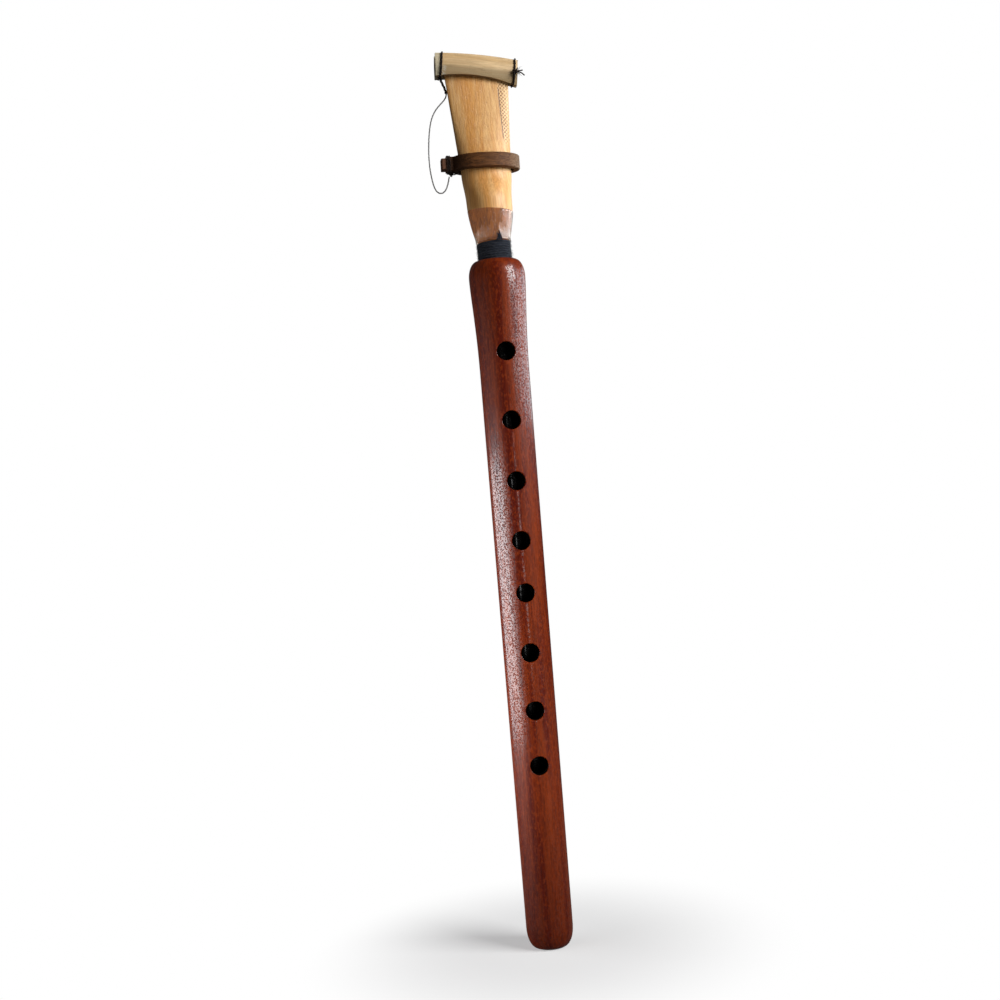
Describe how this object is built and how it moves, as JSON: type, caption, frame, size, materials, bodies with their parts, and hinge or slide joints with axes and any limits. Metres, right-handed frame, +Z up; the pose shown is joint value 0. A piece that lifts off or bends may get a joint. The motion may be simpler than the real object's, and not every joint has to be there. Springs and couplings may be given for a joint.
{
  "type": "duduk",
  "caption": "Duduk: straight wooden pipe with finger holes, a wide flattened cane reed bound with thread in its top, a tuning ring round the reed and a tied cane cap on a tether.",
  "frame": {"origin": "on the bore's axis at the pipe's foot", "axes": "+Z up the pipe towards the reed, -Y the side of the finger holes, +X to the right as seen from that side"},
  "size_m": [0.0521, 0.0288, 0.4579],
  "materials": {
    "lacquered_wood": "gloss lacquer over dark red-brown wood",
    "binding_thread": "matte wound thread, navy black",
    "reed_cane": "satin dry cane with lengthwise grain",
    "clear_film": "clear gloss film",
    "dark_cane": "satin dark brown split cane",
    "slat_cane": "satin pale split cane",
    "dark_thread": "waxed dark thread",
    "tether_thread": "waxed grey-black thread"
  },
  "bodies": {
    "pipe": {"wooden_body": "lacquered_wood"},
    "binding": {"reed_binding": "binding_thread"},
    "reed": {"reed_cane": "reed_cane", "clear_sleeve": "clear_film", "tether": "tether_thread"},
    "ring": {"tuning_ring": "dark_cane", "ring_lashing": "dark_thread"},
    "cap": {"cap_front_slat": "slat_cane", "cap_rear_slat": "slat_cane", "cap_lashing_left": "dark_thread", "cap_lashing_right": "dark_thread"}
  },
  "joints": [
    {"name": "reed_slide", "type": "slide", "parent": "pipe", "child": "binding", "axis": [0, 0, 1], "range_m": [0, 0.02]},
    {"name": "reed_turn", "type": "hinge", "parent": "binding", "child": "reed", "pos_m": [0, 0, 0.341], "axis": [-0.0227, 0, 0.9997], "continuous": true},
    {"name": "ring_slide", "type": "slide", "parent": "reed", "child": "ring", "axis": [-0.0227, 0, 0.9997], "range_m": [0, 0.007], "deforming": ["tether"]},
    {"name": "cap_slide", "type": "slide", "parent": "reed", "child": "cap", "axis": [-0.0227, 0, 0.9997], "range_m": [0, 0.016], "deforming": ["tether"]}
  ]
}
